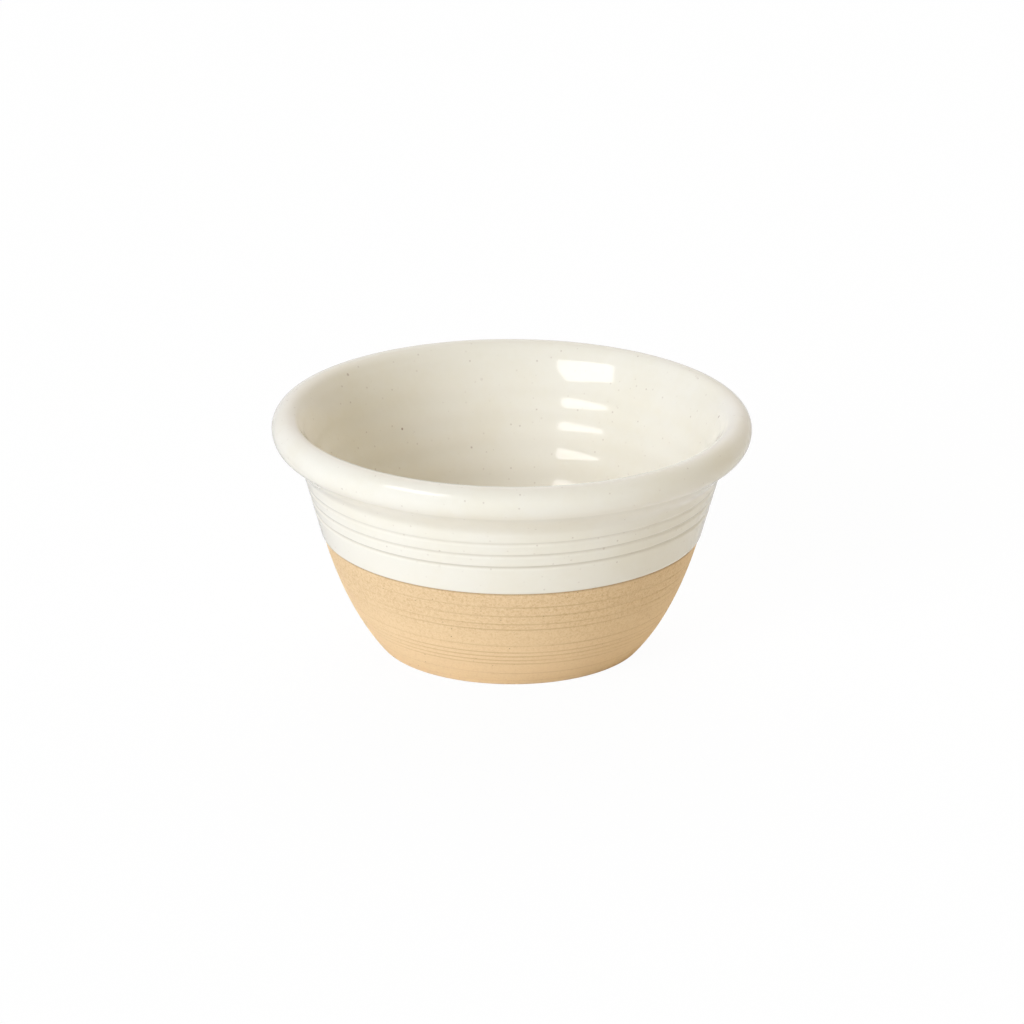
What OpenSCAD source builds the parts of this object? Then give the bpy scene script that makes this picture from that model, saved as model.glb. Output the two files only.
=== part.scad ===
// Prep bowl: a thrown stoneware bowl, glazed inside, over the rolled rim and part of the way
// down the outside. The lower outside and the foot stay raw clay, with fine turning grooves.
// Frame: millimetres, +Z up, origin at the centre of the circle that the foot stands on.

/* [Overall] */
// Outside diameter across the rim bead, glaze included
rim_d = 150; // [110:1:200]
// Height from the table to the top of the rim, glaze included
bowl_h = 75.4; // [60:0.2:110]
// Diameter at which the outer wall would meet the table
foot_d = 82.4; // [60:0.2:96]

/* [Rim bead] */
// Width of the rolled rim bead, glaze included
bead_w = 9; // [7:0.1:13]
// Height of the bead above its widest line, glaze included
bead_up = 4.85; // [3:0.05:7]
// Height of the bead below its widest line, glaze included
bead_down = 5.7; // [4:0.05:9]
// How far inside the bead's centre line the outer wall would meet its lowest line
neck_in = 3.35; // [2.5:0.05:5]
// How far down the bead's underside faces where the hollow of the neck takes over, in degrees
neck_dip = 52; // [44:1:64]
// Reach of that hollow down the wall, from where the bead's slope would meet it
neck_blend = 1.9; // [1:0.1:4]

/* [Flare inside the rim] */
// Lean of the inner face from the vertical where it leaves the bead, in degrees
bead_leave = 36; // [30:1:45]
// Lean of the straight flare from the vertical, in degrees
flare_lean = 28.5; // [24:0.5:34]
// Depth below the rim at which the flare runs straight
flare_top = 4.4; // [3.5:0.1:6]
// Depth below the rim at which the flare would meet the inner wall
flare_foot = 9.1; // [7.5:0.1:12]
// Reach of the bend there, up the flare and down the wall
flare_blend = 1.7; // [0.5:0.1:2.5]

/* [Wall] */
// Clay thickness of the wall at the foot of the flare
wall_t = 4.2; // [3:0.1:6]
// Lean of the upper wall from the vertical, in degrees
wall_lean = 15.4; // [8:0.1:22]
// Lean of the inner wall from the vertical, in degrees: the wall grows thicker towards the floor
inner_lean = 20.9; // [16:0.1:24]
// Height at which the curve of the belly has run into the straight upper wall
belly_h = 38.4; // [26:0.1:46]
// Height of the point that pulls the belly outwards
belly_pull = 12.8; // [6:0.1:20]

/* [Rings under the rim] */
// Number of rings turned into the outer wall
ring_count = 3; // [1:1:4]
// Depth of the top ring below the rim
ring_first = 20.4; // [18:0.1:24]
// Distance from ring to ring
ring_pitch = 4.17; // [2.5:0.01:5]
// Width of a ring
ring_w = 1.8; // [0.8:0.1:2.4]
// Depth of a ring
ring_depth = 0.3; // [0.1:0.05:0.8]

/* [Glaze] */
// Thickness of the glaze coat
glaze_t = 0.4; // [0.2:0.05:0.8]
// How far the glaze reaches down the outside, from the top of the rim
glaze_drop = 38.5; // [33:0.1:45]
// Height over which the lower edge of the glaze rounds off
glaze_edge = 0.7; // [0.3:0.1:1.5]

/* [Throwing ridges inside] */
// Depth of the top ridge below the rim
ridge_first = 12.5; // [12:0.1:18]
// Distance from ridge to ridge
ridge_pitch = 8; // [6:0.1:12]
// Depth of the hollows between the ridges
ridge_h = 0.2; // [0.1:0.05:0.8]
// Height above the table under which the inside is smooth
ridge_low = 30; // [22:0.5:40]

/* [Turning grooves on the clay] */
// Height of the lowest groove
turn_first = 5.4; // [3:0.1:8]
// Distance from groove to groove
turn_pitch = 2.9; // [1.5:0.1:5]
// Width of a groove
turn_w = 0.9; // [0.4:0.1:1.2]
// Depth of a groove
turn_depth = 0.2; // [0.05:0.05:0.4]
// Plain clay left between the top groove and the glaze
turn_gap = 4; // [1:0.1:10]

/* [Floor and foot] */
// Clay thickness of the floor
floor_t = 4.2; // [3:0.1:7]
// Diameter of the flat floor inside
floor_d = 44; // [32:1:56]
// Width of the ring that the bowl stands on
foot_ring_w = 6; // [3:0.1:10]
// Depth of the hollow under the foot
foot_recess = 1.5; // [0.5:0.1:3]
// Size of the rounded outer edge of the foot
foot_edge = 1.2; // [0.4:0.1:2]

/* [Hidden] */
clay_colour = [0.894, 0.773, 0.596];
glaze_colour = [0.937, 0.922, 0.875];
// Sides of a full turn, and points along each kind of curve
$fn = 180;
bead_step = 10;
curve_points = 12;
blend_points = 6;
wave_points = 8;
// Centre of the bead's section
bead_r = rim_d / 2 - bead_w / 2;
bead_z = bowl_h - bead_up;
// Upper wall: a straight line through the neck
neck_r = bead_r - neck_in;
neck_z = bead_z - bead_down + glaze_t;
lean = tan(wall_lean);
across = 1 / cos(wall_lean);
foot_r = foot_d / 2;
glaze_z = bowl_h - glaze_drop;
flare_z = bowl_h - flare_foot;
floor_z = foot_recess + floor_t;
// Ridges that fit between the top one and the smooth part of the inside
ridge_z = bowl_h - ridge_first;
ridge_count = floor((ridge_z - ridge_low) / ridge_pitch);
smooth_z = ridge_z - ridge_count * ridge_pitch;
// Grooves that fit between the lowest one and the plain clay under the glaze
turn_count = floor((glaze_z - turn_gap - turn_first) / turn_pitch) + 1;

// Point at share s of a curve that leaves a towards b and arrives at c from b
function bend(a, b, c, s) = (1 - s) * (1 - s) * a + 2 * s * (1 - s) * b + s * s * c;
// Cross-section of a ring or groove: none at its edges, full depth in its middle
function dip(u) = (1 + cos(180 * u)) / 2;
function backwards(path) = [for (i = [len(path) - 1 : -1 : 0]) path[i]];
// Direction that leans so many degrees outwards from straight up
function leaning(a) = [sin(a), cos(a)];
// Where the line through p along u crosses the line through q along v
function crossing(p, u, q, v) = p + u * cross(q - p, v) / cross(u, v);

// Outer clay wall: straight from the neck down to the belly, then curved in to the foot
function upper_r(z) = neck_r + lean * (z - neck_z);
belly = [for (i = [0 : 2 * curve_points])
    bend([foot_r, 0], [upper_r(belly_pull), belly_pull], [upper_r(belly_h), belly_h],
        i / (2 * curve_points))];
belly_table = [for (p = belly) [p[1], p[0]]];
function wall_r(z) = z < belly_h ? lookup(z, belly_table) : upper_r(z);
// Inner wall at the crests of the throwing ridges, under a coat of thickness k: a cone that starts
// at the foot of the flare, where the clay has its stated thickness
function inner_r(z, k) = upper_r(flare_z) - wall_t * across + tan(inner_lean) * (z - flare_z)
    - k / cos(inner_lean);

// Raw clay of the outer wall, from the rounded edge of the foot up to the glaze
foot_curve = [for (i = [0 : blend_points])
    bend([foot_r - foot_edge, 0], [foot_r, 0], [wall_r(foot_edge), foot_edge], i / blend_points)];
turned_wall = [for (i = [0 : turn_count - 1], u = [-1 : 0.5 : 1])
    let (z = turn_first + i * turn_pitch + u * turn_w / 2)
    [wall_r(z) - turn_depth * dip(u), z]];
plain_z = turn_first + (turn_count - 1) * turn_pitch + turn_w / 2;
plain_wall = [for (i = [1 : blend_points])
    let (z = plain_z + (glaze_z - plain_z) * i / blend_points) [wall_r(z), z]];

// The glazed side in four stretches, each under a coat of thickness k: 0 is the clay itself
low_ring_z = bowl_h - ring_first - (ring_count - 1) * ring_pitch - ring_w / 2;
function glazed_wall(k) = [for (i = [0 : blend_points])
    let (z0 = glaze_z + glaze_edge, z = z0 + (low_ring_z - z0) * i / (blend_points + 1))
    [wall_r(z) + k * across, z]];
function rings(k) = [for (i = [ring_count - 1 : -1 : 0], u = [-1 : 0.5 : 1])
    let (z = bowl_h - ring_first - i * ring_pitch + u * ring_w / 2)
    [wall_r(z) + k * across - ring_depth * dip(u), z]];
// Hollow of the neck, from the wall up to the slope of the bead's underside
function neck(k) = let (
        to = on_bead(k, dip_a(k)),
        corner = crossing(to, leaning(neck_dip), [neck_r + k * across, neck_z], leaning(wall_lean)),
        from = corner - neck_blend * [lean, 1])
    [for (i = [0 : blend_points - 1]) bend(from, corner, to, i / blend_points)];
// Half width and half height of the bead, and the angles where the neck and the flare leave it
function bead_a(k) = bead_w / 2 - glaze_t + k;
function bead_b(k, a) = (a < 0 ? bead_down : bead_up) - glaze_t + k;
function dip_a(k) = -atan(tan(neck_dip) * bead_b(k, -90) / bead_a(k));
function leave_a(k) = 180 - atan(tan(bead_leave) * bead_b(k, 90) / bead_a(k));
function on_bead(k, a) = [bead_r + bead_a(k) * cos(a), bead_z + bead_b(k, a) * sin(a)];
bead_steps = floor((leave_a(0) - dip_a(0)) / bead_step);
function bead(k) = [for (i = [0 : bead_steps])
    on_bead(k, dip_a(k) + (leave_a(k) - dip_a(k)) * i / bead_steps)];
// Flare from the bead to the inner wall: a bend off the bead, a straight cone, and a bend into the wall
function flare(k) = let (
        cone = leaning(flare_lean) / cos(flare_lean),
        foot = [inner_r(flare_z, k), flare_z],
        from = on_bead(k, leave_a(k)),
        corner = crossing(from, leaning(bead_leave), foot, cone))
    concat([for (i = [1 : blend_points])
        bend(from, corner, foot + (flare_foot - flare_top) * cone, i / blend_points)],
        [for (i = [0 : blend_points])
        bend(foot + flare_blend * cone, foot, foot - flare_blend * [tan(inner_lean), 1],
            i / blend_points)]);
function ridges(k) = [for (i = [0 : ridge_count * wave_points])
    let (z = ridge_z - ridge_pitch * i / wave_points)
    [inner_r(z, k) + ridge_h * (1 - cos(360 * i / wave_points)) / 2, z]];
function bowl_floor(k) = let (z = floor_z + k)
    concat([for (i = [1 : curve_points])
        bend([inner_r(smooth_z, k), smooth_z], [inner_r(z, k), z], [floor_d / 2, z],
            i / curve_points)], [[0, z]]);
function glazed_side(k) = concat(glazed_wall(k), rings(k), neck(k), bead(k), flare(k), ridges(k),
    bowl_floor(k));

// Rounded lower edge of the glaze, from the clay out to the full thickness of the coat
glaze_lip = [for (i = [0 : blend_points - 1])
    let (a = 90 * i / blend_points, z = glaze_z + glaze_edge * (1 - cos(a)))
    [wall_r(z) + glaze_t * across * sin(a), z]];

// Fired clay: foot ring with a hollow under it, turned wall, and the side that the glaze covers
module stoneware_body() {
    inner_foot_r = foot_r - foot_ring_w;
    foot = [[0, foot_recess], [inner_foot_r - foot_recess, foot_recess], [inner_foot_r, 0]];
    color(clay_colour)
        rotate_extrude()
            polygon(concat(foot, foot_curve, turned_wall, plain_wall, glazed_side(0)));
}

// Glaze: one unbroken coat that lies on the clay from its lower edge outside to the floor inside
module glaze_coat() {
    color(glaze_colour)
        rotate_extrude()
            polygon(concat(glaze_lip, glazed_side(glaze_t), backwards(glazed_side(0))));
}

stoneware_body();
glaze_coat();
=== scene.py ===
"""Prep bowl: thrown stoneware, cream glaze inside, over the rolled rim and down to a line on raw clay."""

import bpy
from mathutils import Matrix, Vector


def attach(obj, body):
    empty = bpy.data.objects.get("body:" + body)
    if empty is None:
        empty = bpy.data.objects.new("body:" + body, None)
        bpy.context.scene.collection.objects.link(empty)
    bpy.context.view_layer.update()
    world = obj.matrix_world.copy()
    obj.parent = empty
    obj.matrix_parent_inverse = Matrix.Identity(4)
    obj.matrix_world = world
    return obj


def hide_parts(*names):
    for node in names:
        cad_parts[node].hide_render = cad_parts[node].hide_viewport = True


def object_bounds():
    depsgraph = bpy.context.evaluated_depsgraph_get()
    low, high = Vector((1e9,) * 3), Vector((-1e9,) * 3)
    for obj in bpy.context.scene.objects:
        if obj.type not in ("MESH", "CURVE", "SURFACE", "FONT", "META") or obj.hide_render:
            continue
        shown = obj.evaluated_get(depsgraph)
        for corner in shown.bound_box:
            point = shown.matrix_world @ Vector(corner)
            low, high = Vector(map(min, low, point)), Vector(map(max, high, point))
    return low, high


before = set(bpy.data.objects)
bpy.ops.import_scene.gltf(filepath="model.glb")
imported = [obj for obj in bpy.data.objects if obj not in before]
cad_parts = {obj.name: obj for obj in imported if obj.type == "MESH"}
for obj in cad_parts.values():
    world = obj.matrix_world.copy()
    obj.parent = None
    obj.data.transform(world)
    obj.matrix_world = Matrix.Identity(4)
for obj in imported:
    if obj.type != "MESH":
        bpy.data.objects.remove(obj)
CAD_LOW, CAD_HIGH = [[float(v) for v in corner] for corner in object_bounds()]

import math

import bpy
import numpy as np
from bpy.props import FloatProperty, FloatVectorProperty, IntProperty, PointerProperty
from mathutils import Matrix, Vector

bl_info = {
    "name": "Prep bowl",
    "version": (1, 0, 0),
    "blender": (4, 5, 0),
    "location": "View3D > Sidebar > Prep bowl",
    "description": "Builds a thrown stoneware prep bowl: raw clay body, glaze coat and studio",
    "category": "Add Mesh",
}

MM = 0.001            # sizes are given in millimetres in this file, and are in metres in the scene
AROUND = 272          # sides of a full turn
# Points along each stretch of the glazed side: the face that shows, and the one between glaze and clay
SHOWN = {"wall": 20, "ring": 15, "neck": 14, "bead": 48, "flare": 10, "ridge": 18, "hollow": 30, "floor": 10}
UNDER = {"wall": 8, "ring": 5, "neck": 6, "bead": 18, "flare": 4, "ridge": 8, "hollow": 12, "floor": 3}
# Points along the glaze's lip, the belly, the raw wall and each tool mark, and the stretches of the foot
ALONG = {"lip": 8, "belly": 60, "raw": 44, "mark": 7, "recess": 8, "step": 8, "foot": 6, "edge": 9}
CLOSER = 1.15         # how far from a groove's bottom points lie closer, as a share of its reach

# Heights of the crests of the throwing ridges inside, the last one where the smooth hollow starts
CRESTS = (64.2, 56.8, 49.9, 41.0, 31.1)
RIDGE_PITCH = 8       # distance between crests at which a hollow is just ridge_h deep
# Heights of the tool marks on the raw clay, as far as they run clear of each other
TOOL_MARKS = (1.9, 5.4, 9.65, 11.1, 12.7, 14.3, 17.0, 23.4, 25.5, 28.5, 31.8)
# They level off below this height, and from this far under the glaze line
LEVEL_FOOT, LEVEL_LINE = 8, 4
RING_DOWN, RING_UP = 0.7, 0.3      # shares of a ring's width below and above its bottom
RING_STEP = 0.17      # how much shallower each ring is than the next one down, as a share of the lowest
NECK_GAP = 0.2        # from the last row of the ringed wall to the hollow of the neck

# How far lines sway up and down round the bowl, and the share by which the depth of their cuts varies
SWAY = {"lip": 0.10, "ring": 0.05, "ridge": 0.4, "mark": 0.12}
UNEVEN = {"ring": 0.25, "ridge": 0.05, "mark": 0.5}
# Waves of that unevenness: number to the turn, size, and how far the seed shifts them
WAVES = ((2, 1.0, 1.0), (3, 0.6, 2.1), (5, 0.4, 3.7))
# Its seeds: for lines, for the cut of the first groove, from groove to groove, and for the wall's roundness
SEED = {"line": 1.3, "first": 0.7, "groove": 2.4, "round": 0.4}

# Iron specks: size and distance apart, and the shares of the size at which one starts to fade and is gone
GLAZE_SMALL, GLAZE_LARGE, CLAY_SPECKS = (0.78, 2.7), (1.1, 11.5), (0.5, 2.6)
SPECK_CORE, SPECK_RIM = 0.25, 0.60
# Clouds of noise to a metre, the last two drawn out round the wall
GLAZE_CLOUD, GLAZE_FINE, GLAZE_RIPPLE, FLOOR_CLOUD = 55.0, 420.0, 130.0, 9.0
CLAY_CLOUD, CLAY_SAND, CLAY_GRAIN = 60.0, 1100.0, 2600.0
STREAKS, PATCHES = (30.0, 30.0, 1100.0), (22.0, 22.0, 160.0)
# How strongly each tone lies over the ones before it
ON_GLAZE = {"pool_and_shade": 0.9, "small": 0.28, "large": 0.85}
ON_CLAY = {"light": 0.95, "dark": 0.75, "streak": 0.16, "cloud": 0.25, "bounce_light": 0.6, "edge": 0.6, "speck": 0.7}
RELIEF = {"glaze": 0.05, "clay": 0.11, "streak": 0.07}      # depth of the fine relief
RIDGE_SHADE = 0.25     # how much painted shade lies between the ridges, where a ring's bottom has 1
LIP_SHADE_REACH = 0.4      # how far under the glaze line the clay is darkened as painted shade under the glaze's lip
BOUNCE_LIGHT_TOP, BOUNCE_LIGHT_FOOT = 34, 6        # heights between which painted bounce light makes the clay lighter downwards
FAINT_FOOT, CLEAR_FOOT = 3, 9      # heights between which the painted shade in the tool marks grows clear
CLEAR_SIDE, FAINT_SIDE = 12, 40    # distances to either side of the middle between which that painted shade grows faint

FALL_OFF = 4.0        # power of the cosine by which the three broad sides of the room's light fall off
FLOOR_HALF = 3.0      # half the floor's width, in metres
FLOOR_DIM, FLOOR_PART = (0.93, 0.93, 0.92), 0.2      # linear colour of the clouds in the floor, and their share
SENSOR = 36.0         # width of the camera's sensor
NEAR = 0.01           # where the camera's view starts, in metres


def length(name, description, mm):
    """A size in metres, given here in millimetres."""
    return FloatProperty(
        name=name, description=description, default=mm * MM, min=0.0, precision=5, unit="LENGTH")


def angle(name, description, degrees):
    """An angle, given here in degrees."""
    return FloatProperty(name=name, description=description, default=math.radians(degrees), subtype="ANGLE")


def share(name, description, value):
    """A share from 0 to 1, or a level of light where 1 is white."""
    return FloatProperty(name=name, description=description, default=value, min=0.0, subtype="FACTOR")


def linear(red, green, blue):
    """A colour as a screen shows it, 0 to 255, turned into the linear light that shaders work in."""
    c = np.array([red, green, blue]) / 255.0
    return tuple(float(v) for v in np.where(c <= 0.04045, c / 12.92, ((c + 0.055) / 1.055) ** 2.4))


def colour(name, description, *screen):
    """A colour, given here as a screen shows it."""
    return FloatVectorProperty(
        name=name, description=description, default=linear(*screen), size=3, min=0.0, max=1.0, subtype="COLOR")


class PrepBowlSizes(bpy.types.PropertyGroup):
    """Sizes of the bowl's section."""
    rim_d: length("Rim", "Outside diameter across the rim bead", (CAD_HIGH[0] - CAD_LOW[0]) / MM)
    bowl_h: length("Height", "Height from the table to the top of the rim", CAD_HIGH[2] / MM)
    foot_d: length("Foot", "Diameter at which the outer wall would meet the table", 82.4)
    bead_w: length("Bead width", "Width of the rolled rim bead", 9)
    bead_up: length("Bead top", "Height of the bead above its widest line", 4.85)
    bead_down: length("Bead underside", "Height of the bead below its widest line", 5.7)
    neck_in: length("Neck", "How far inside the bead's centre line the wall meets it", 3.35)
    neck_dip: angle(
        "Neck dip", "How far down the bead's underside faces where the hollow of the neck takes over", 52)
    neck_blend: length(
        "Neck blend", "Reach of that hollow down the wall, from where the bead's slope would meet it", 2.4)
    bead_leave: angle("Bead leave", "Lean of the inner face from the vertical where it leaves the bead", 36)
    flare_lean: angle("Flare lean", "Lean of the straight inner flare from the vertical", 28.5)
    flare_top: length("Flare top", "Depth below the rim at which the flare runs straight", 4.4)
    flare_foot: length("Flare foot", "Depth below the rim at which the flare would meet the wall", 9.1)
    flare_blend: length("Flare blend", "Reach of the bend there, up the flare and down the wall", 1.7)
    wall_t: length("Wall", "Clay thickness of the wall at the foot of the flare", 4.2)
    wall_lean: angle("Wall lean", "Lean of the upper wall from the vertical", 15.4)
    inner_lean: angle(
        "Inner lean", "Lean of the inside from the vertical, where the wall grows thicker downwards", 20.9)
    belly_h: length("Belly top", "Height at which the belly has run into the straight wall", 38.4)
    belly_pull: length("Belly pull", "Height of the point that pulls the belly outwards", 12.8)
    ring_count: IntProperty(
        name="Rings", description="Number of rings turned into the outer wall", default=3, min=1)
    ring_first: length("First ring", "Depth of the top ring below the rim", 20.4)
    ring_pitch: length("Ring pitch", "Distance from ring to ring", 4.17)
    ring_w: length("Ring width", "Width of a ring", 1.9)
    ring_depth: length("Ring depth", "Depth of the lowest ring", 0.34)
    ring_tilt: angle("Ring tilt", "Tilt of the rings to the table", 0.6)
    glaze_t: length("Glaze", "Thickness of the glaze coat", 0.4)
    glaze_drop: length(
        "Glaze drop", "How far the glaze reaches down the outside, from the top of the rim", 38.5)
    glaze_edge: length("Glaze edge", "Height over which the lower edge of the glaze rounds off", 0.7)
    glaze_tilt: angle("Glaze tilt", "Tilt of the glaze line to the table", 0.1)
    ridge_h: length("Ridge depth", "Depth of the hollows between the ridges", 0.30)
    mark_w: length("Tool mark width", "Width of a tool mark on the raw clay", 0.8)
    mark_depth: length("Tool mark depth", "Depth of a tool mark on the raw clay", 0.10)
    mark_tilt: angle("Tool mark tilt", "Tilt of the tool marks to the table", -0.33)
    floor_t: length("Floor", "Clay thickness of the floor", 4.2)
    floor_d: length("Floor width", "Diameter of the flat floor inside", 44)
    foot_ring_w: length("Foot ring", "Width of the ring that the bowl stands on", 6)
    foot_recess: length("Foot hollow", "Depth of the hollow under the foot", 1.5)
    foot_edge: length("Foot edge", "Size of the rounded outer edge of the foot", 0.5)
    hand: length("Unevenness", "How far the thrown wall is out of round", 0.12)


class PrepBowlColours(bpy.types.PropertyGroup):
    """Colours and grain of the two finishes."""
    cream: colour("Glaze", "Cream of the glaze where it lies evenly", 239, 233, 219)
    cream_warm: colour("Warm glaze", "Glaze where more of the clay shows through", 237, 230, 213)
    # Partly glaze gathered in the rings, partly painted shade there; between the inner ridges it is painted
    # shade only
    cream_pool_and_shade: colour("Pooled glaze", "Glaze where it has gathered in a hollow", 214, 205, 186)
    speck: colour("Specks", "Iron specks in glaze and clay", 134, 88, 48)
    clay: colour("Clay", "Raw fired clay", 225, 193, 149)
    clay_light: colour("Light grain", "Pale sand grains in the clay", 236, 208, 167)
    clay_dark: colour("Dark grain", "Dark sand grains in the clay", 203, 166, 119)
    # Painted shade in the tool marks: the darker clay in their bottoms stands in for the shade in the grooves
    clay_mark_shade: colour("Tool marks", "Clay in the bottom of a tool mark", 190, 152, 105)
    # Painted bounce light: this lighter clay towards the foot stands in for light thrown up from the floor, not
    # for a paler firing
    clay_bounce_light: colour("Pale foot", "Clay towards the foot, where it has fired paler", 245, 214, 170)
    gloss: share("Glaze roughness", "Roughness of the glaze", 0.04)
    matt: share("Clay roughness", "Roughness of the raw clay", 0.82)


class PrepBowlStudio(bpy.types.PropertyGroup):
    """Light, floor and camera."""
    key_watts: FloatProperty(
        name="Key light", description="Power of the softbox, which shows only in the gloss",
        default=1.5, min=0.0, unit="POWER")
    key_side: angle("Key side", "How far the softbox stands to the left of the camera", 49)
    key_rise: angle("Key rise", "Height of the softbox above the horizon", 36.5)
    key_away: length("Key distance", "Distance of the softbox from the bowl", 850)
    key_roll: angle("Key roll", "Turn of the softbox about its own axis", -5)
    key_w: length("Key width", "Width of the softbox", 420)
    key_h: length("Key height", "Height of the softbox", 270)
    key_tone: colour("Key colour", "Colour of the softbox", 255, 255, 255)
    window: share("Window side", "Level of the soft light from the front left", 14.65)
    window_tone: colour("Window colour", "Colour of the soft light from the front left", 233, 242, 255)
    window_side: angle("Window direction", "How far its middle lies to the left of the camera", 38)
    window_rise: angle("Window rise", "Height of its middle above the horizon", 22)
    window_focus: FloatProperty(
        name="Window focus", description="How closely it is gathered about its middle", default=30.0, min=1.0)
    fill: share("Fill side", "Level of the soft light from the right", 1.06)
    fill_side: angle("Fill direction", "How far its middle lies to the left of the camera", -90)
    fill_rise: angle("Fill rise", "Height of its middle above the horizon", 0)
    fill_tone: colour("Fill colour", "Colour of the soft light from the right", 255, 243, 206)
    back: share("Back", "Level of the soft light from behind", 3.53)
    back_rise: angle("Back rise", "Height of its middle above the horizon", 20)
    back_tone: colour("Back colour", "Colour of the soft light from behind", 238, 240, 255)
    ceiling: share("Ceiling", "Level of the soft light from above", 0.66)
    ceiling_rise: angle("Ceiling rise", "Height of its middle above the horizon", 80)
    ceiling_tone: colour("Ceiling colour", "Colour of the soft light from above", 255, 240, 203)
    room: share("Room in gloss", "How bright the white of the room shows in the gloss", 0.62)
    floor_white: share("Floor white", "Share of the floor that shows as plain white", 0.96)
    floor_tone: colour("Floor", "Colour of the floor", 251, 250, 247)
    view_rise: angle("Camera rise", "Height of the camera above the horizon", 20.1)
    view_away: length("Camera distance", "Distance of the camera from the bowl", 1800)
    view_roll: angle("Camera roll", "Turn of the camera about its own axis", 0.26)
    view_x: FloatProperty(
        name="Aim across", description="Where the camera aims, across", default=0.17 * MM, unit="LENGTH")
    view_z: length("Aim height", "Height at which the camera aims", 41.84)
    lens: FloatProperty(
        name="Lens", description="Focal length on a 36 mm wide sensor", default=201.64, unit="CAMERA")


# Shapes

def bend(a, b, c, count):
    """Points of a curve that leaves a towards b and arrives at c from b: a(1-s)^2 + 2bs(1-s) + cs^2."""
    s = np.linspace(0.0, 1.0, count)[:, None]
    a, b, c = np.array(a), np.array(b), np.array(c)
    return a * (1 - s) ** 2 + b * (2 * s * (1 - s)) + c * s ** 2


def leaning(lean):
    """Direction in a section that leans outwards so far from straight up."""
    return np.array([math.sin(lean), math.cos(lean)])


def crossing(p, u, q, v):
    """Where the line through p along u crosses the line through q along v."""
    return p + u * np.linalg.solve(np.column_stack([u, -v]), q - p)[0]


def dip(u):
    """Section of a groove: (1 + cos(pi u)) / 2 for u from -1 to 1, and nothing outside."""
    return (1 + np.cos(np.pi * np.clip(u, -1, 1))) / 2


def grooves(z, heights, down, up):
    """Sum of the grooves at these heights: each a dip that reaches so far down and up from its bottom, where
    it is 1."""
    off = z[:, None] - np.array(heights)
    return dip(off / np.where(off < 0, down, up)).sum(axis=1)


def between(low, high, count, heights, down, up, points):
    """Heights from low to high: an even spread, drawn closer over each groove so that its section is round."""
    u = np.linspace(-CLOSER, CLOSER, points)
    near = np.add.outer(np.array(heights), u * np.where(u < 0, down, up)).ravel()
    z = np.concatenate([np.linspace(low, high, count), near])
    return np.unique(np.round(z[(z >= low) & (z <= high)], 6))


def nearest(z, heights):
    """Number of the groove that lies nearest to each height."""
    return np.abs(z[:, None] - np.array(heights)).argmin(axis=1)


def rows(points, cut=0.0, tilt=0.0, sway=0.0, uneven=0.0, groove=0.0):
    """Section points with how deep each is cut, its tilt, how far it sways up and down round the bowl, how
    uneven its cut is, and the number of the groove that it lies in."""
    points = np.asarray(points)
    extra = [np.broadcast_to(v, len(points)) for v in (cut, tilt, sway, uneven, groove)]
    return np.column_stack([points, *extra])


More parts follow.
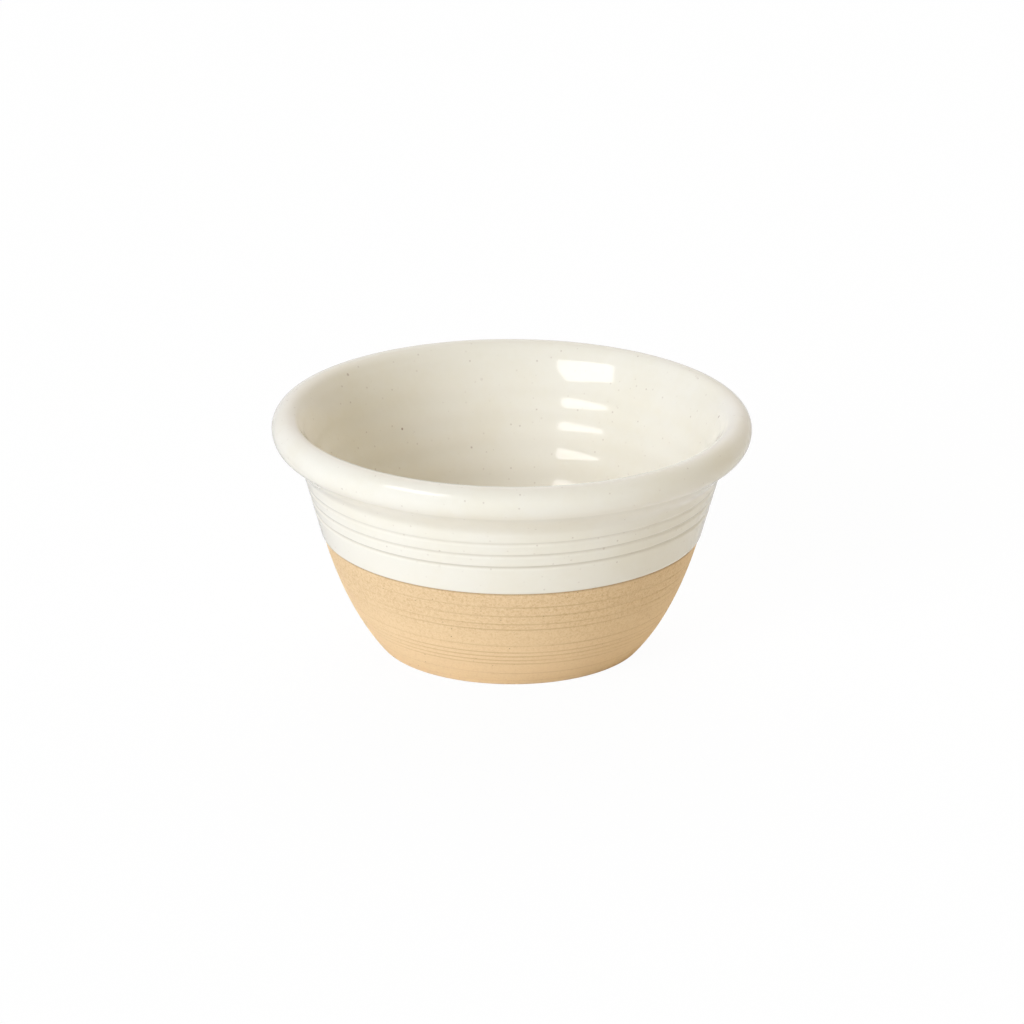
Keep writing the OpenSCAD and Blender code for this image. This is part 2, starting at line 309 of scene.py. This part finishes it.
class Section:
    """Lines that the clay and the glaze share, worked out from the sizes."""

    def __init__(self, b):
        self.b = b
        self.lean, self.across = math.tan(b.wall_lean), 1 / math.cos(b.wall_lean)
        self.bead_r, self.bead_z = b.rim_d / 2 - b.bead_w / 2, b.bowl_h - b.bead_up
        self.neck_r, self.neck_z = self.bead_r - b.neck_in, self.bead_z - b.bead_down + b.glaze_t
        self.foot_r, self.floor_z = b.foot_d / 2, b.foot_recess + b.floor_t
        self.flare_z, self.glaze_z = b.bowl_h - b.flare_foot, b.bowl_h - b.glaze_drop
        self.smooth_z = CRESTS[-1] * MM
        self.ring_z = b.bowl_h - b.ring_first - b.ring_pitch * np.arange(b.ring_count)[::-1]
        pull, top = ((self.upper_r(z), z) for z in (b.belly_pull, b.belly_h))
        self.belly_r, self.belly_z = bend((self.foot_r, 0), pull, top, ALONG["belly"]).T

    def upper_r(self, z):
        """Straight upper wall: the radius grows by the tangent of its lean with every step up."""
        return self.neck_r + self.lean * (z - self.neck_z)

    def wall_r(self, z):
        """Outer clay wall: the belly's bend up to where it has run into the straight wall."""
        return np.where(z < self.b.belly_h, np.interp(z, self.belly_z, self.belly_r), self.upper_r(z))

    def inner_r(self, z, k):
        """Inner wall at the ridge crests, under a coat k: a cone from the foot of the flare, where the clay is
        wall_t thick."""
        b = self.b
        foot_r = self.upper_r(self.flare_z) - b.wall_t * self.across
        return foot_r + math.tan(b.inner_lean) * (z - self.flare_z) - k / math.cos(b.inner_lean)

    def glazed_wall(self, k, n):
        """Outer wall above the glaze line, with the rings cut into it along their own slight tilt, each
        shallower than the one below it by the same step."""
        b = self.b
        low, high = self.glaze_z + b.glaze_edge, self.neck(k, n)[0, 1] - NECK_GAP * MM
        down, up = b.ring_w * RING_DOWN, b.ring_w * RING_UP
        z = between(low, high, n["wall"], self.ring_z, down, up, n["ring"])
        at = [low, self.ring_z[0], self.ring_z[-1], high]
        tilt = np.interp(z, at, [b.glaze_tilt, b.ring_tilt, b.ring_tilt, 0])
        sway = np.interp(z, at, [SWAY["lip"], SWAY["ring"], SWAY["ring"], 0]) * MM
        ring = nearest(z, self.ring_z)
        cut = b.ring_depth * grooves(z, self.ring_z, down, up) * (1 - RING_STEP * ring)
        wall = np.column_stack([self.wall_r(z) + k * self.across, z])
        return rows(wall, cut, tilt, sway, UNEVEN["ring"], ring)

    def neck(self, k, n):
        """Hollow from the wall to the underside of the bead: a bend whose handle is where the wall's line
        crosses the slope of the bead."""
        high, wall = self.bead(k, n)[0, :2], np.array([self.neck_r + k * self.across, self.neck_z])
        handle = crossing(high, leaning(self.b.neck_dip), wall, leaning(self.b.wall_lean))
        low = handle - self.b.neck_blend * np.array([self.lean, 1.0])
        return rows(bend(low, handle, high, n["neck"])[:-1])

    def bead(self, k, n):
        """Rolled rim: an arc of an ellipse below its widest line, from where the neck's hollow ends, and of a
        flatter one above, to where the flare leaves it."""
        b = self.b
        wide, up, down = b.bead_w / 2 - b.glaze_t + k, b.bead_up - b.glaze_t + k, b.bead_down - b.glaze_t + k
        leave = math.pi - math.atan(math.tan(b.bead_leave) * up / wide)
        a = np.linspace(-math.atan(math.tan(b.neck_dip) * down / wide), leave, n["bead"])
        r, z = self.bead_r + wide * np.cos(a), self.bead_z + np.where(a < 0, down, up) * np.sin(a)
        return rows(np.column_stack([r, z]))

    def flare(self, k, n):
        """From the bead to the first ridge: a bend off the bead, a straight cone, and a short bend into the
        wall. The first bend's handle is where the bead's slope crosses the cone, the second's where the cone
        meets the wall."""
        b = self.b
        cone = leaning(b.flare_lean) / math.cos(b.flare_lean)
        foot = np.array([self.inner_r(self.flare_z, k), self.flare_z])
        start = self.bead(k, n)[-1, :2]
        handle = crossing(start, leaning(b.bead_leave), foot, cone)
        off = bend(start, handle, foot + (b.flare_foot - b.flare_top) * cone, n["flare"])
        end = foot - b.flare_blend * np.array([math.tan(b.inner_lean), 1.0])
        return rows(np.concatenate([off[1:], bend(foot + b.flare_blend * cone, foot, end, n["flare"])]))

    def ridged_wall(self, k, n):
        """Throwing ridges: crests on the inner wall, hollows between them as (1 - cos) waves into the clay,
        deeper where the crests are further apart."""
        ridges = len(CRESTS) - 1
        turn = np.arange(ridges * n["ridge"] + 1) / n["ridge"]
        z = np.interp(turn, np.arange(ridges + 1), CRESTS) * MM
        fade = np.minimum(1, 2 * np.minimum(turn, ridges - turn))
        wave = (1 - np.cos(2 * np.pi * turn)) / 2
        deep = np.interp(turn, np.arange(ridges) + 0.5, -np.diff(CRESTS)) / RIDGE_PITCH
        cut, sway = -self.b.ridge_h * deep * wave, SWAY["ridge"] * MM * fade
        return rows(np.column_stack([self.inner_r(z, k), z]), cut, 0.0, sway, UNEVEN["ridge"], np.ceil(turn))

    def hollow(self, k, n):
        """Smooth bowl of the inside, one bend down to the flat floor, which runs to the axis."""
        b, z = self.b, self.floor_z + k
        start, handle = ((self.inner_r(at, k), at) for at in (self.smooth_z, z))
        curve = bend(start, handle, (b.floor_d / 2, z), n["hollow"])[1:]
        flat = np.linspace(b.floor_d / 2, 0, n["floor"] + 2)[1:-1]
        return rows(np.concatenate([curve, np.column_stack([flat, np.full_like(flat, z)])]))

    def glazed_side(self, k, n):
        """Everything that the glaze covers, from the outer wall over the rim to the floor, under a coat k."""
        stretches = (self.glazed_wall, self.neck, self.bead, self.flare, self.ridged_wall, self.hollow)
        return np.concatenate([stretch(k, n) for stretch in stretches])

    def glaze_lip(self):
        """Rounded lower edge of the glaze: a quarter of an ellipse from the clay out to the full coat."""
        b = self.b
        a = np.linspace(0, math.pi / 2, ALONG["lip"], endpoint=False)
        z = self.glaze_z + b.glaze_edge * (1 - np.cos(a))
        lip = np.column_stack([self.wall_r(z) + b.glaze_t * self.across * np.sin(a), z])
        return rows(lip, 0.0, b.glaze_tilt, SWAY["lip"] * MM)

    def foot(self):
        """Underside: the hollow, the step down to the foot ring, the ring, and its rounded outer edge."""
        b = self.b
        inner = self.foot_r - b.foot_ring_w
        hollow = np.linspace(0, inner - 2 * b.foot_recess, ALONG["recess"])[1:]
        handle = (inner - b.foot_recess / 2, b.foot_recess)
        step = bend((hollow[-1], b.foot_recess), handle, (inner, 0), ALONG["step"])[1:]
        flat = np.linspace(inner, self.foot_r - b.foot_edge, ALONG["foot"])[1:-1]
        end = (float(self.wall_r(b.foot_edge)), b.foot_edge)
        edge = bend((self.foot_r - b.foot_edge, 0), (self.foot_r, 0), end, ALONG["edge"])
        hollow = np.column_stack([hollow, np.full_like(hollow, b.foot_recess)])
        flat = np.column_stack([flat, np.zeros_like(flat)])
        return rows(np.concatenate([hollow, step, flat, edge]))

    def raw_wall(self):
        """Raw clay from the foot's edge to the glaze line, with the tool marks cut into it along their tilt."""
        b = self.b
        heights = np.array(TOOL_MARKS) * MM
        half = b.mark_w / 2
        z = between(b.foot_edge, self.glaze_z, ALONG["raw"], heights, half, half, ALONG["mark"])[1:]
        at = [b.foot_edge, LEVEL_FOOT * MM, self.glaze_z - LEVEL_LINE * MM, self.glaze_z]
        fade = np.interp(z, at, [0, 1, 1, 0])
        cut = b.mark_depth * grooves(z, heights, half, half)
        tilt, sway = b.mark_tilt * fade, SWAY["mark"] * MM * fade
        return rows(np.column_stack([self.wall_r(z), z]), cut, tilt, sway, UNEVEN["mark"], nearest(z, heights))


def waver(turn, seed):
    """Slow unevenness round the bowl, from -1 to 1: half the sum of three sine waves, size * sin(count * turn
    + shift * seed)."""
    return sum(size * np.sin(count * turn + shift * seed) for count, size, shift in WAVES) / 2


def lathe(name, section, lean, hand, foot_z, floor_z):
    """Carries a section round the axis. Radius and height at each turn come from the section's row, its tilt
    (up by tilt times the distance to the right), its sway, and its cut, which runs deeper and shallower round
    the bowl; every slip up or down follows the wall's lean. A point on the axis closes each end."""
    turn = np.linspace(0, 2 * math.pi, AROUND, endpoint=False)
    r, z, cut, tilt, sway, uneven, groove = (column[:, None] for column in section.T)
    slip = np.tan(tilt) * r * np.cos(turn) + sway * waver(turn, SEED["line"])
    depth = cut * (1 + uneven * waver(turn, SEED["groove"] * groove + SEED["first"]))
    radius = (r + lean * slip - depth) * (1 - hand * (1 + waver(turn, SEED["round"])) / 2)
    height = z + slip
    grid = np.stack([radius * np.cos(turn), radius * np.sin(turn), height], axis=-1).reshape(-1, 3)
    points = np.concatenate([[[0, 0, foot_z]], grid, [[0, 0, floor_z]]])
    index = 1 + np.arange(len(section) * AROUND).reshape(len(section), AROUND)
    after = np.roll(index, -1, axis=1)
    quads = np.stack([index[:-1], after[:-1], after[1:], index[1:]], axis=-1).reshape(-1, 4)
    first = np.stack([after[0], index[0], np.zeros(AROUND, int)], axis=-1)
    last = np.stack([index[-1], after[-1], np.full(AROUND, len(points) - 1)], axis=-1)
    mesh = bpy.data.meshes.new(name)
    mesh.from_pydata(points.tolist(), [], quads.tolist() + first.tolist() + last.tolist())
    mesh.shade_smooth()
    piece = bpy.data.objects.new(name, mesh)
    bpy.context.scene.collection.objects.link(piece)
    return piece


def carry(piece, name, values):
    """Puts one number for each row of a section on the piece's points, as an attribute for its finish."""
    attribute = piece.data.attributes.new(name, "FLOAT", "POINT")
    spread = np.concatenate([values[:1], np.repeat(values, AROUND), values[-1:]])
    attribute.data.foreach_set("value", spread.astype(np.float32))


# Finishes

class Wire:
    """A value on its way through a finish. Sums between wires and numbers add Math nodes."""

    def __init__(self, finish, socket):
        self.finish, self.socket = finish, socket

    def sum(self, operation, a, b):
        """The wire out of a Math node with these two values."""
        return self.finish.node("ShaderNodeMath", {0: a, 1: b}, operation=operation)

    def __add__(self, other):
        return self.sum("ADD", self, other)

    def __radd__(self, other):
        return self.sum("ADD", other, self)

    def __sub__(self, other):
        return self.sum("SUBTRACT", self, other)

    def __rsub__(self, other):
        return self.sum("SUBTRACT", other, self)

    def __mul__(self, other):
        return self.sum("MULTIPLY", self, other)

    def __rmul__(self, other):
        return self.sum("MULTIPLY", other, self)

    def __pow__(self, other):
        return self.sum("POWER", self, other)

    def __rpow__(self, other):
        return self.sum("POWER", other, self)


class Finish:
    """A material or world under way: node() adds any node and gives back a wire."""

    def __init__(self, owner):
        owner.use_nodes = True
        self.owner, self.tree = owner, owner.node_tree
        self.tree.nodes.clear()

    def node(self, kind, inputs=None, out=0, **settings):
        """Adds a node: first its settings, then a value or wire on each named socket."""
        made = self.tree.nodes.new(kind)
        for name, value in settings.items():
            setattr(made, name, value)
        for name, value in (inputs or {}).items():
            if isinstance(value, Wire):
                self.tree.links.new(value.socket, made.inputs[name])
            elif made.inputs[name].type == "RGBA" and len(value) == 3:
                made.inputs[name].default_value = (*value, 1.0)
            else:
                made.inputs[name].default_value = value
        return Wire(self, made.outputs[out]) if len(made.outputs) else made

    def place(self):
        """Where a point is on the piece, in metres."""
        return self.node("ShaderNodeTexCoord", out="Object")

    def stretch(self, vector, scale):
        """A place scaled by three numbers, so that a pattern is drawn out along an axis."""
        return self.node("ShaderNodeVectorMath", {0: vector, 1: scale}, operation="MULTIPLY")

    def mix(self, part, a, b):
        """Colour a, with b over it by a part from 0 to 1."""
        return self.node("ShaderNodeMix", {0: part, 6: a, 7: b}, out=2, data_type="RGBA")

    def ease(self, value, low, high, start=0.0, end=1.0):
        """A smooth step: start below low, end above high."""
        sockets = {"Value": value, "From Min": low, "From Max": high, "To Min": start, "To Max": end}
        return self.node("ShaderNodeMapRange", sockets, interpolation_type="SMOOTHSTEP")

    def noise(self, vector, scale, detail=2.0, rough=0.5):
        """Cloudy noise about 0.5, with so many clouds to a metre."""
        sockets = {"Vector": vector, "Scale": scale, "Detail": detail, "Roughness": rough}
        return self.node("ShaderNodeTexNoise", sockets)

    def specks(self, vector, size, apart):
        """Small grains where the surface cuts through balls strewn through the body, of this size and this far
        apart in millimetres, each with a darkness of its own."""
        size, apart = size * MM, apart * MM
        sockets = {"Vector": vector, "Scale": 1 / apart, "Randomness": 1.0}
        near = self.node("ShaderNodeTexVoronoi", sockets, out="Distance")
        grain = Wire(self, near.socket.node.outputs["Color"])
        own = self.node("ShaderNodeSeparateColor", {"Color": grain}, out="Red")
        return self.ease(near * apart, size * SPECK_CORE, size * SPECK_RIM, 1.0, 0.0) * own

    def bump(self, height, distance, under=None):
        """Tilts the surface's normal, or the one under it, by a height that is so many metres at 1."""
        sockets = {"Height": height, "Distance": distance, "Strength": 1.0}
        if under is not None:
            sockets["Normal"] = under
        return self.node("ShaderNodeBump", sockets)

    def seen(self, room):
        """Whether a ray comes from the eye, or from gloss or glass, and how bright white is to it: 1, or the
        room's level in gloss."""
        gloss = self.node("ShaderNodeLightPath", out="Is Glossy Ray")
        eye = self.node("ShaderNodeLightPath", out="Is Camera Ray")
        glass = self.node("ShaderNodeLightPath", out="Is Transmission Ray")
        return eye + glass + gloss, 1 - gloss * (1 - room)

    def surface(self, **sockets):
        """Ends the material in one Principled shader with these sockets."""
        inputs = {name.replace("_", " "): value for name, value in sockets.items()}
        shader = self.node("ShaderNodeBsdfPrincipled", inputs)
        self.node("ShaderNodeOutputMaterial", {"Surface": shader})
        return self.owner


def cream_glaze(c):
    """Gloss cream glaze: clouds of warmer cream, glaze gathered in the rings and darkened there with painted
    shade, painted shade between the inner ridges, sparse iron specks, a faint ripple.
    """
    f = Finish(bpy.data.materials.new("cream_glaze"))
    at = f.place()
    cloud = f.noise(at, GLAZE_CLOUD, detail=3.0)
    fine = f.noise(at, GLAZE_FINE)
    pool_and_shade = f.node("ShaderNodeAttribute", out="Fac", attribute_name="pool_and_shade")
    tone = f.mix(f.ease(cloud + (fine - 0.5) * 0.25, 0.35, 0.75), c.cream, c.cream_warm)
    # Darker glaze in the rings, partly gathered glaze and partly painted shade, and painted shade between the
    # ridges
    tone = f.mix(pool_and_shade ** 2 * ON_GLAZE["pool_and_shade"], tone, c.cream_pool_and_shade)
    small = f.specks(at, *GLAZE_SMALL)
    large = f.specks(f.stretch(at, (1.0, 1.0, 0.93)), *GLAZE_LARGE)
    tone = f.mix(small ** 1.6 * ON_GLAZE["small"], tone, c.speck)
    tone = f.mix(large * ON_GLAZE["large"], tone, c.speck)
    ripple = f.noise(at, GLAZE_RIPPLE, detail=1.0)
    return f.surface(
        Base_Color=tone,
        Roughness=c.gloss + (fine - 0.5) * 0.02 + (small + large) * 0.15,
        Normal=f.bump(ripple * 0.8 + fine * 0.2, RELIEF["glaze"] * MM),
        IOR=1.55,
    )


def raw_clay(c):
    """Matt raw clay: light and dark sandy grain, streaks drawn out round the wall, tool marks darkened with
    painted shade, painted shade under the glaze line, painted bounce light towards the foot, iron specks.
    """
    f = Finish(bpy.data.materials.new("raw_clay"))
    at = f.place()
    mark = f.node("ShaderNodeAttribute", out="Fac", attribute_name="mark")
    grain = f.noise(at, CLAY_GRAIN, rough=0.6)
    sand = f.noise(at, CLAY_SAND)
    cloud = f.noise(at, CLAY_CLOUD)
    streak = f.noise(f.stretch(at, STREAKS), 1.0)
    tone = f.mix(f.ease(grain * 0.6 + sand * 0.4, 0.40, 0.72) * ON_CLAY["light"], c.clay, c.clay_light)
    tone = f.mix(f.ease(grain * 0.5 + sand * 0.5, 0.52, 0.30) * ON_CLAY["dark"], tone, c.clay_dark)
    tone = f.mix(f.ease(streak, 0.50, 0.75) * ON_CLAY["streak"], tone, c.clay_dark)
    tone = f.mix(f.ease(cloud, 0.35, 0.75) * ON_CLAY["cloud"], tone, c.clay_light)
    across = f.node("ShaderNodeSeparateXYZ", {"Vector": at}, out="X")
    height = f.node("ShaderNodeSeparateXYZ", {"Vector": at}, out="Z")
    # Painted bounce light: the clay is lightened towards the foot, where light from the floor would fall
    tone = f.mix(f.ease(height, BOUNCE_LIGHT_TOP * MM, BOUNCE_LIGHT_FOOT * MM) * ON_CLAY["bounce_light"], tone, c.clay_bounce_light)
    patchy = f.noise(f.stretch(at, PATCHES), 1.0, detail=1.0)
    # Painted shade in the tool marks, clearest near the middle of the front and back, and above the foot
    middle = f.ease(across * across, (CLEAR_SIDE * MM) ** 2, (FAINT_SIDE * MM) ** 2, 0.95, 0.35)
    clear = middle * f.ease(height, FAINT_FOOT * MM, CLEAR_FOOT * MM, 0.3, 1.0)
    tone = f.mix(mark * clear * f.ease(patchy, 0.32, 0.60, 0.2, 0.55), tone, c.clay_mark_shade)
    specks = f.specks(at, *CLAY_SPECKS)
    # Painted shade: the clay just under the glaze line is darkened as the shade under the glaze's lip
    edge = f.node("ShaderNodeAttribute", out="Fac", attribute_name="edge")
    tone = f.mix(edge * ON_CLAY["edge"], tone, c.speck)
    tone = f.mix(specks ** 1.3 * ON_CLAY["speck"], tone, c.speck)
    under = f.bump(streak, RELIEF["streak"] * MM)
    return f.surface(
        Base_Color=tone,
        Roughness=c.matt + (sand - 0.5) * 0.2,
        Normal=f.bump(grain * 0.55 + sand * 0.45, RELIEF["clay"] * MM, under),
        Specular_IOR_Level=0.25,
    )


def studio_floor(s):
    """Pale floor that shows as white to the eye, less bright in gloss, and keeps part of the bowl's shadow."""
    f = Finish(bpy.data.materials.new("studio_floor"))
    at = f.place()
    seen, white = f.seen(s.room)
    tone = f.mix(f.noise(at, FLOOR_CLOUD) * FLOOR_PART, s.floor_tone, FLOOR_DIM)
    matt = f.node("ShaderNodeBsdfDiffuse", {"Color": tone})
    plain = f.node("ShaderNodeEmission", {"Color": (1, 1, 1), "Strength": white})
    both = f.node("ShaderNodeMixShader", {0: seen * s.floor_white, 1: matt, 2: plain})
    f.node("ShaderNodeOutputMaterial", {"Surface": both})
    return f.owner


def towards(side, rise):
    """Direction from the bowl to a light so far to the left of the camera and so high above the horizon."""
    return (-math.sin(side) * math.cos(rise), -math.cos(side) * math.cos(rise), math.sin(rise))


def turned(out, roll):
    """Turn of a lamp or camera that looks back along a direction, rolled about it."""
    return out.to_track_quat("Z", "Y").to_matrix().to_4x4() @ Matrix.Rotation(roll, 4, "Z")


def studio_air(s):
    """Soft light from four sides, which the eye sees as white and the gloss as less bright. Each side's light
    falls off from its middle as a power of the cosine, and the four are added up."""
    f = Finish(bpy.data.worlds.new("studio_air"))
    seen, white = f.seen(s.room)
    way = f.node("ShaderNodeTexCoord", out="Generated")
    light = (0.0, 0.0, 0.0)
    for level, side, rise, focus, tone in (
        (s.window, s.window_side, s.window_rise, s.window_focus, s.window_tone),
        (s.fill, s.fill_side, s.fill_rise, FALL_OFF, s.fill_tone),
        (s.back, math.pi, s.back_rise, FALL_OFF, s.back_tone),
        (s.ceiling, 0.0, s.ceiling_rise, FALL_OFF, s.ceiling_tone),
    ):
        sockets = {0: way, 1: towards(side, rise)}
        facing = f.node("ShaderNodeVectorMath", sockets, out="Value", operation="DOT_PRODUCT")
        soft = f.node("ShaderNodeMath", {0: facing, 1: 0.0}, operation="MAXIMUM") ** focus * level
        light = f.node("ShaderNodeVectorMath", {0: soft, 1: tuple(tone), 2: light}, operation="MULTIPLY_ADD")
    air = f.node("ShaderNodeBackground", {"Color": f.mix(seen, light, (1.0, 1.0, 1.0)), "Strength": white})
    f.node("ShaderNodeOutputWorld", {"Surface": air})
    return f.owner


# Operators

class PREPBOWL_OT_clay(bpy.types.Operator):
    """Turns the clay body: foot ring, marked raw wall, and the side that the glaze covers"""
    bl_idname = "prep_bowl.clay"
    bl_label = "Clay body"

    def execute(self, context):
        b = context.scene.prep_bowl_sizes
        s = Section(b)
        section = np.concatenate([s.foot(), s.raw_wall(), s.glazed_side(0.0, UNDER)])
        piece = lathe("bowl_clay", section, s.lean, b.hand / (b.rim_d / 2), b.foot_recess, s.floor_z)
        # The mark attribute also places the painted shade in the tool marks
        carry(piece, "mark", np.clip(section[:, 2] / b.mark_depth, 0, 1))
        # This attribute places the painted shade just under the glaze line
        carry(piece, "edge", np.exp(-((section[:, 1] - s.glaze_z) / (LIP_SHADE_REACH * MM)) ** 2))
        piece.data.materials.append(raw_clay(context.scene.prep_bowl_colours))
        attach(piece, "root")
        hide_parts("stoneware_body")
        return {"FINISHED"}


class PREPBOWL_OT_glaze(bpy.types.Operator):
    """Lays the glaze coat over the clay, from its lip outside to the floor inside"""
    bl_idname = "prep_bowl.glaze"
    bl_label = "Glaze coat"

    def execute(self, context):
        b = context.scene.prep_bowl_sizes
        s = Section(b)
        under, over = s.glazed_side(0.0, UNDER)[::-1], s.glazed_side(b.glaze_t, SHOWN)
        section = np.concatenate([under, s.glaze_lip(), over])
        piece = lathe("bowl_glaze", section, s.lean, b.hand / (b.rim_d / 2), s.floor_z, s.floor_z + b.glaze_t)
        # This attribute is partly gathered glaze and partly painted shade in the rings, and only painted shade
        # between the ridges
        ring = np.clip(section[:, 2], 0, None) / b.ring_depth
        ridge = np.clip(-section[:, 2], 0, None) / b.ridge_h
        carry(piece, "pool_and_shade", np.clip(ring + RIDGE_SHADE * ridge, 0, 1))
        piece.data.materials.append(cream_glaze(context.scene.prep_bowl_colours))
        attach(piece, "root")
        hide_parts("glaze_coat")
        return {"FINISHED"}


class PREPBOWL_OT_studio(bpy.types.Operator):
    """Sets the floor, the softbox, the soft light of the room and the camera"""
    bl_idname = "prep_bowl.studio"
    bl_label = "Studio"

    def execute(self, context):
        scene, s = context.scene, context.scene.prep_bowl_studio
        scene.view_settings.view_transform = "Standard"
        scene.world = studio_air(s)
        x, y = np.meshgrid([-FLOOR_HALF, FLOOR_HALF], [-FLOOR_HALF, FLOOR_HALF])
        mesh = bpy.data.meshes.new("studio_floor")
        mesh.from_pydata(np.column_stack([x.ravel(), y.ravel(), np.zeros(4)]).tolist(), [], [(0, 1, 3, 2)])
        mesh.materials.append(studio_floor(s))
        ground = bpy.data.objects.new("studio_floor", mesh)
        scene.collection.objects.link(ground)
        aim = Vector((0, 0, s.view_z))
        lamp = bpy.data.lights.new("softbox", "AREA")
        lamp.shape, lamp.size, lamp.size_y = "RECTANGLE", s.key_w, s.key_h
        lamp.energy, lamp.color = s.key_watts, s.key_tone
        box = bpy.data.objects.new("softbox", lamp)
        out = Vector(towards(s.key_side, s.key_rise))
        box.matrix_world = Matrix.Translation(aim + out * s.key_away) @ turned(out, s.key_roll)
        box.visible_diffuse = False
        scene.collection.objects.link(box)
        eye = bpy.data.cameras.new("camera")
        eye.sensor_width, eye.lens, eye.clip_start = SENSOR, s.lens, NEAR
        camera = bpy.data.objects.new("camera", eye)
        back = Vector((0, -math.cos(s.view_rise), math.sin(s.view_rise)))
        seat = Vector((s.view_x, 0, s.view_z)) + back * s.view_away
        camera.matrix_world = Matrix.Translation(seat) @ turned(back, s.view_roll)
        scene.collection.objects.link(camera)
        scene.camera = camera
        return {"FINISHED"}


class PREPBOWL_PT_panel(bpy.types.Panel):
    """The bowl's pieces, sizes and colours in the 3D view's sidebar"""
    bl_idname = "PREPBOWL_PT_panel"
    bl_label = "Prep bowl"
    bl_space_type = "VIEW_3D"
    bl_region_type = "UI"
    bl_category = "Prep bowl"

    def draw(self, context):
        for operator in OPERATORS:
            self.layout.operator(operator.bl_idname)
        for name in GROUPS:
            group = getattr(context.scene, name)
            column = self.layout.column(align=True)
            for field in group.bl_rna.properties:
                if not field.is_readonly and field.identifier != "name":
                    column.prop(group, field.identifier)


OPERATORS = (PREPBOWL_OT_clay, PREPBOWL_OT_glaze, PREPBOWL_OT_studio)
GROUPS = {
    "prep_bowl_sizes": PrepBowlSizes,
    "prep_bowl_colours": PrepBowlColours,
    "prep_bowl_studio": PrepBowlStudio,
}


def register():
    """Makes the groups, operators and panel known to Blender."""
    for item in (*GROUPS.values(), *OPERATORS, PREPBOWL_PT_panel):
        bpy.utils.register_class(item)
    for name, group in GROUPS.items():
        setattr(bpy.types.Scene, name, PointerProperty(type=group))


def unregister():
    """Takes them away again, in the opposite order."""
    for name in GROUPS:
        delattr(bpy.types.Scene, name)
    for item in (PREPBOWL_PT_panel, *reversed(OPERATORS), *reversed(GROUPS.values())):
        bpy.utils.unregister_class(item)


def main():
    register()
    bpy.ops.prep_bowl.clay()
    bpy.ops.prep_bowl.glaze()
    bpy.ops.prep_bowl.studio()


if __name__ == "__main__":
    main()
